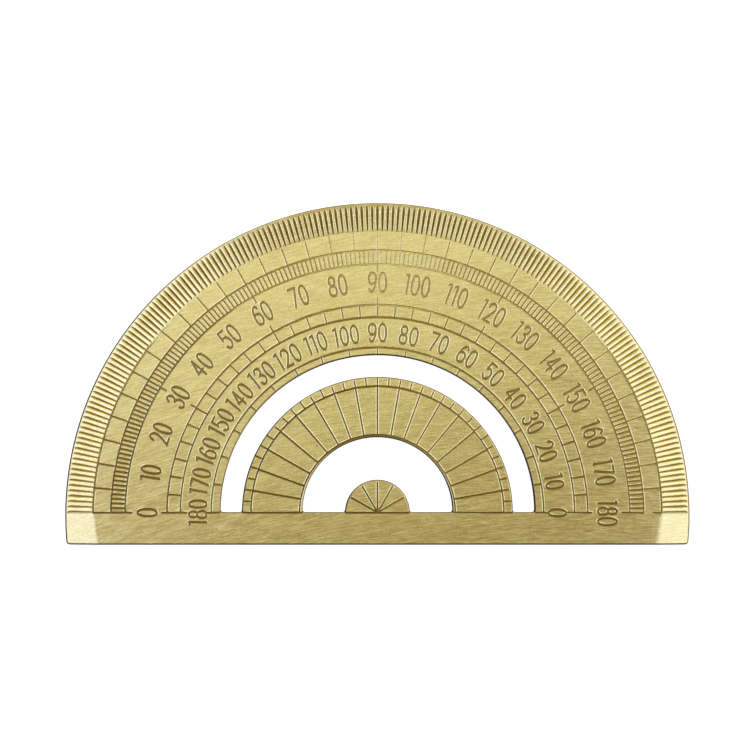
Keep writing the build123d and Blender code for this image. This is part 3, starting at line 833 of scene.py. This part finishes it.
def brass():
    mat = bpy.data.materials.new("brushed_brass")
    nt, N, L = nodes_of(mat)
    out = N.new("ShaderNodeOutputMaterial")
    bsdf = N.new("ShaderNodeBsdfPrincipled")
    L.new(bsdf.outputs[0], out.inputs[0])
    bsdf.inputs["Specular IOR Level"].default_value = 0.10
    bsdf.inputs["Anisotropic"].default_value = 0.35
    bsdf.inputs["Anisotropic Rotation"].default_value = 0.25
    bsdf.inputs["Specular Tint"].default_value = (1.0, 0.82, 0.45, 1.0)
    tangent = N.new("ShaderNodeTangent")
    tangent.direction_type = "UV_MAP"
    tangent.uv_map = "brush"
    L.new(tangent.outputs[0], bsdf.inputs["Tangent"])

    tex = N.new("ShaderNodeTexCoord")

    # the brushing runs uphill at the left end and levels out towards the right
    xyz = N.new("ShaderNodeSeparateXYZ")
    L.new(tex.outputs["Object"], xyz.inputs[0])
    bend = N.new("ShaderNodeMath")
    bend.operation = "MULTIPLY"
    L.new(xyz.outputs[0], bend.inputs[0])
    L.new(xyz.outputs[0], bend.inputs[1])
    bent_y = N.new("ShaderNodeMath")
    bent_y.operation = "MULTIPLY_ADD"
    bent_y.inputs[1].default_value = 1.9
    L.new(bend.outputs[0], bent_y.inputs[0])
    L.new(xyz.outputs[1], bent_y.inputs[2])
    bent = N.new("ShaderNodeCombineXYZ")
    L.new(xyz.outputs[0], bent.inputs[0])
    L.new(bent_y.outputs[0], bent.inputs[1])
    L.new(xyz.outputs[2], bent.inputs[2])

    def mapped(scale, turn=0.0, shift=(0, 0, 0)):
        m = N.new("ShaderNodeMapping")
        m.vector_type = "POINT"
        m.inputs["Rotation"].default_value = (0, 0, math.radians(-turn))
        m2 = N.new("ShaderNodeMapping")
        m2.inputs["Scale"].default_value = [1000.0 * k for k in scale]
        m2.inputs["Location"].default_value = shift
        L.new(bent.outputs[0], m.inputs[0])
        L.new(m.outputs[0], m2.inputs[0])
        return m2.outputs[0]

    def noise(vec, scale, detail=2.0, rough=0.5, dist=0.0):
        n = N.new("ShaderNodeTexNoise")
        n.inputs["Scale"].default_value = scale
        n.inputs["Detail"].default_value = detail
        n.inputs["Roughness"].default_value = rough
        n.inputs["Distortion"].default_value = dist
        L.new(vec, n.inputs["Vector"])
        return n.outputs["Fac"]

    def ramp(fac, stops):
        r = N.new("ShaderNodeValToRGB")
        while len(r.color_ramp.elements) < len(stops):
            r.color_ramp.elements.new(0.5)
        for e, (p, c) in zip(r.color_ramp.elements, stops):
            e.position = p
            e.color = (*c, 1) if len(c) == 3 else c
        L.new(fac, r.inputs[0])
        return r.outputs[0]

    def math_(op, a, b=None, clamp=False):
        m = N.new("ShaderNodeMath")
        m.operation = op
        m.use_clamp = clamp
        for i, v in enumerate((a, b)):
            if v is None:
                continue
            if isinstance(v, (int, float)):
                m.inputs[i].default_value = v
            else:
                L.new(v, m.inputs[i])
        return m.outputs[0]

    def mix(fac, a, b, blend="MIX"):
        m = N.new("ShaderNodeMix")
        m.data_type = "RGBA"
        m.blend_type = blend
        if isinstance(fac, (int, float)):
            m.inputs[0].default_value = fac
        else:
            L.new(fac, m.inputs[0])
        for sock, v in ((m.inputs[6], a), (m.inputs[7], b)):
            if isinstance(v, tuple):
                sock.default_value = (*v, 1)
            else:
                L.new(v, sock)
        return m.outputs[2]

    # brushing: fine long streaks, in two slightly different directions, and coarser ones
    fine = noise(mapped((0.45, 7.5, 7.5), 6.0), 1.0, 3.0, 0.6)
    fine2 = noise(mapped((0.34, 4.0, 4.0), 11.0, (31, 7, 3)), 1.0, 3.0, 0.55)
    coarse = noise(mapped((0.07, 0.9, 0.9), 6.0, (5, 19, 2)), 1.0, 2.0, 0.5)
    patch = noise(mapped((0.05, 0.05, 0.05), 0.0, (3, 1, 0)), 1.0, 2.0, 0.5)
    grain = noise(mapped((5.5, 5.5, 5.5), 0.0, (9, 4, 1)), 1.0, 2.0, 0.5)

    streak = math_("ADD", math_("MULTIPLY", fine, 0.55), math_("MULTIPLY", fine2, 0.45))
    tone = ramp(streak, [(0.40, (0.660, 0.492, 0.128)), (0.50, (0.794, 0.610, 0.173)), (0.60, (0.930, 0.740, 0.235))])
    tone = mix(math_("MULTIPLY", coarse, 0.35), tone, (0.740, 0.560, 0.149))
    speck = noise(mapped((2.6, 3.4, 3.0), 10.0, (2, 12, 5)), 1.0, 3.0, 0.6)
    tone = mix(math_("MULTIPLY", math_("SUBTRACT", speck, 0.44, True), 2.2, True), tone, (0.595, 0.444, 0.112))
    tone = mix(math_("MULTIPLY", math_("SUBTRACT", patch, 0.42, True), 1.2, True), tone, (0.824, 0.647, 0.195))

    # painted shade in the grooves and on the edges darkens the tone
    at = N.new("ShaderNodeAttribute")
    at.attribute_name = "painted_shade"
    shade_amount = math_("MULTIPLY", at.outputs["Fac"], math_("ADD", math_("MULTIPLY", grain, 0.4), 0.78), True)
    tone = mix(shade_amount, tone, (0.135, 0.078, 0.009))
    # painted highlight on the rim ridges about the top and on edges facing right and up
    highlight_at = N.new("ShaderNodeAttribute")
    highlight_at.attribute_name = "painted_highlight"
    tone = mix(math_("MULTIPLY", highlight_at.outputs["Fac"], 0.25), tone, (0.95, 0.81, 0.38))
    # painted shade: a dark line along the plate's edges facing left and down
    edge_shade_at = N.new("ShaderNodeAttribute")
    edge_shade_at.attribute_name = "painted_edge_shade"
    tone = mix(math_("MULTIPLY", edge_shade_at.outputs["Fac"], math_("ADD", math_("MULTIPLY", grain, 0.2), 0.90), True), tone, (0.020, 0.014, 0.005))
    L.new(tone, bsdf.inputs["Base Color"])
    # where shade is painted, in the grooves and on the edges, the surface is turned from metal to a dark non-metal
    shade_not_metal = math_("ADD", math_("MULTIPLY", shade_amount, 0.45), edge_shade_at.outputs["Fac"], True)
    L.new(math_("SUBTRACT", 1.0, shade_not_metal, True), bsdf.inputs["Metallic"])

    rough = math_("ADD", math_("MULTIPLY", streak, 0.22), 0.12)
    rough = math_("ADD", rough, math_("MULTIPLY", shade_amount, 0.15), True)
    L.new(rough, bsdf.inputs["Roughness"])

    long = noise(mapped((0.14, 1.8, 1.8), 7.0, (8, 2, 6)), 1.0, 3.0, 0.6)
    bump = N.new("ShaderNodeBump")
    bump.inputs["Strength"].default_value = 0.48
    bump.inputs["Distance"].default_value = 0.00002
    L.new(streak, bump.inputs["Height"])
    bump2 = N.new("ShaderNodeBump")
    bump2.inputs["Strength"].default_value = 0.5
    bump2.inputs["Distance"].default_value = 0.00010
    wav = noise(mapped((0.22, 0.30, 0.25), 0.0, (1, 7, 3)), 1.0, 2.0, 0.5)
    L.new(wav, bump2.inputs["Height"])
    bump3 = N.new("ShaderNodeBump")
    bump3.inputs["Strength"].default_value = 0.24
    bump3.inputs["Distance"].default_value = 0.00003
    L.new(long, bump3.inputs["Height"])
    L.new(bump2.outputs[0], bump3.inputs["Normal"])
    L.new(bump3.outputs[0], bump.inputs["Normal"])
    L.new(bump.outputs[0], bsdf.inputs["Normal"])
    return mat


brass_mat = brass()
for ob in pieces.values():
    ob.data.materials.append(brass_mat)

# ------------------------------------------------------------------ stage, lights, camera
floor_mat = bpy.data.materials.new("pale_floor")
nt, N, L = nodes_of(floor_mat)
o_ = N.new("ShaderNodeOutputMaterial")
b_ = N.new("ShaderNodeBsdfPrincipled")
b_.inputs["Base Color"].default_value = (0.80, 0.80, 0.80, 1)
b_.inputs["Roughness"].default_value = 0.9
b_.inputs["Specular IOR Level"].default_value = 0.1
b_.inputs["Emission Color"].default_value = (1.0, 1.0, 1.0, 1)
lp_ = N.new("ShaderNodeLightPath")
em_ = N.new("ShaderNodeMath")
em_.operation = "MULTIPLY"
em_.inputs[1].default_value = 0.8
L.new(lp_.outputs["Is Camera Ray"], em_.inputs[0])
L.new(em_.outputs[0], b_.inputs["Emission Strength"])
L.new(b_.outputs[0], o_.inputs[0])
me = bpy.data.meshes.new("floor")
h = 1.5
me.from_pydata([(-h, -h, -0.00003), (h, -h, -0.00003), (h, h, -0.00003), (-h, h, -0.00003)], [], [(0, 1, 2, 3)])
floor = bpy.data.objects.new("floor", me)
floor.data.materials.append(floor_mat)
bpy.context.scene.collection.objects.link(floor)

world = bpy.data.worlds.new("studio")
bpy.context.scene.world = world
world.use_nodes = True
# the studio round the table: dim in front and to the left, pale behind; the camera sees it as plain white
nt = world.node_tree
N, L = nt.nodes, nt.links
bg = N["Background"]
bg2 = N.new("ShaderNodeBackground")
tc = N.new("ShaderNodeTexCoord")
sep = N.new("ShaderNodeSeparateXYZ")
L.new(tc.outputs["Generated"], sep.inputs[0])
total = None
for axis, lo, hi, amount in ((1, 0.12, 0.72, 0.28), (0, 0.20, 0.90, 0.14), (1, -0.68, -0.95, 0.18)):
    mr = N.new("ShaderNodeMapRange")
    mr.interpolation_type = "SMOOTHSTEP"
    mr.inputs["From Min"].default_value = lo
    mr.inputs["From Max"].default_value = hi
    mr.inputs["To Min"].default_value = 0.0
    mr.inputs["To Max"].default_value = amount
    L.new(sep.outputs[axis], mr.inputs["Value"])
    if total is None:
        total = mr.outputs[0]
    else:
        ad = N.new("ShaderNodeMath")
        ad.operation = "ADD"
        L.new(total, ad.inputs[0])
        L.new(mr.outputs[0], ad.inputs[1])
        total = ad.outputs[0]
lp = N.new("ShaderNodeLightPath")
mx = N.new("ShaderNodeMix")
L.new(lp.outputs["Is Camera Ray"], mx.inputs["Factor"])
L.new(total, mx.inputs["A"])
mx.inputs["B"].default_value = 0.0
L.new(mx.outputs["Result"], bg2.inputs[1])
bg2.inputs[0].default_value = (0.92, 1.0, 0.92, 1)
mx = N.new("ShaderNodeMix")
L.new(lp.outputs["Is Camera Ray"], mx.inputs["Factor"])
mx.inputs["A"].default_value = 0.30
mx.inputs["B"].default_value = 1.0
L.new(mx.outputs["Result"], bg.inputs[1])
tint = N.new("ShaderNodeMix")
tint.data_type = "RGBA"
L.new(lp.outputs["Is Camera Ray"], tint.inputs[0])
tint.inputs[6].default_value = (1.0, 0.84, 0.42, 1)
tint.inputs[7].default_value = (1.0, 1.0, 1.0, 1)
L.new(tint.outputs[2], bg.inputs[0])
both = N.new("ShaderNodeAddShader")
L.new(bg.outputs[0], both.inputs[0])
L.new(bg2.outputs[0], both.inputs[1])
L.new(both.outputs[0], N["World Output"].inputs[0])


def softbox(name, centre, size, radiance, colour=(1, 1, 1), turn=0.0):
    """An area light of this radiance, facing the plate's centre."""
    data = bpy.data.lights.new(name, "AREA")
    data.shape = "RECTANGLE"
    data.size, data.size_y = size
    data.energy = radiance * math.pi * size[0] * size[1]
    data.color = colour
    ob = bpy.data.objects.new(name, data)
    ob.location = centre
    z = (Vector(centre) - Vector((0.0, 0.022, 0.0))).normalized()
    y = Vector((0.0, 1.0, 0.0))
    y = (y - z * z.dot(y)).normalized()
    x = y.cross(z)
    t = math.radians(turn)
    x, y = x * math.cos(t) + y * math.sin(t), y * math.cos(t) - x * math.sin(t)
    ob.rotation_euler = Matrix((x, y, z)).transposed().to_euler()       # its width runs along X
    bpy.context.scene.collection.objects.link(ob)
    return ob


def off_zenith(deg_x, deg_y, dist):
    """A point at this distance from the plate, tilted from the vertical towards +X and +Y."""
    x, y = math.tan(math.radians(deg_x)), math.tan(math.radians(deg_y))
    v = Vector((x, y, 1.0)).normalized() * dist
    return (v.x, v.y + 0.022, v.z)


softbox("left_softbox", off_zenith(-24, 11, 1.1), (0.40, 1.10), 1.10, (1.0, 1.29, 3.5))
softbox("right_softbox", off_zenith(25, 11, 1.1), (0.40, 1.10), 1.12, (1.0, 1.30, 3.2))
softbox("back_softbox", off_zenith(0, 46, 1.2), (1.1, 0.70), 0.58, (1.0, 1.0, 0.85))
softbox("overhead", off_zenith(-3, 2, 1.5), (0.60, 0.70), 0.05, (0.8, 0.8, 2.0))
softbox("overhead_back", off_zenith(-1, 7.5, 1.5), (0.72, 0.46), 0.77, (1.0, 1.26, 1.98), 15.0)

cam_data = bpy.data.cameras.new("camera")
cam_data.type = "PERSP"
cam_data.lens = 100.0
cam_data.sensor_width = 36.0
cam_data.clip_start, cam_data.clip_end = 0.01, 20.0
cam = bpy.data.objects.new("camera", cam_data)
PX = 6.137              # image pixels to a millimetre, on the top face
cam.location = (-2.4 / PX * 0.001, 137.4 / PX * 0.001, 0.0012 + 0.750 / PX / 0.36)
cam.rotation_euler = (0.0, 0.0, 0.0)
bpy.context.scene.collection.objects.link(cam)
bpy.context.scene.camera = cam

bpy.context.scene.view_settings.view_transform = "Standard"
bpy.context.scene.view_settings.look = "None"
bpy.context.scene.view_settings.exposure = 0.0
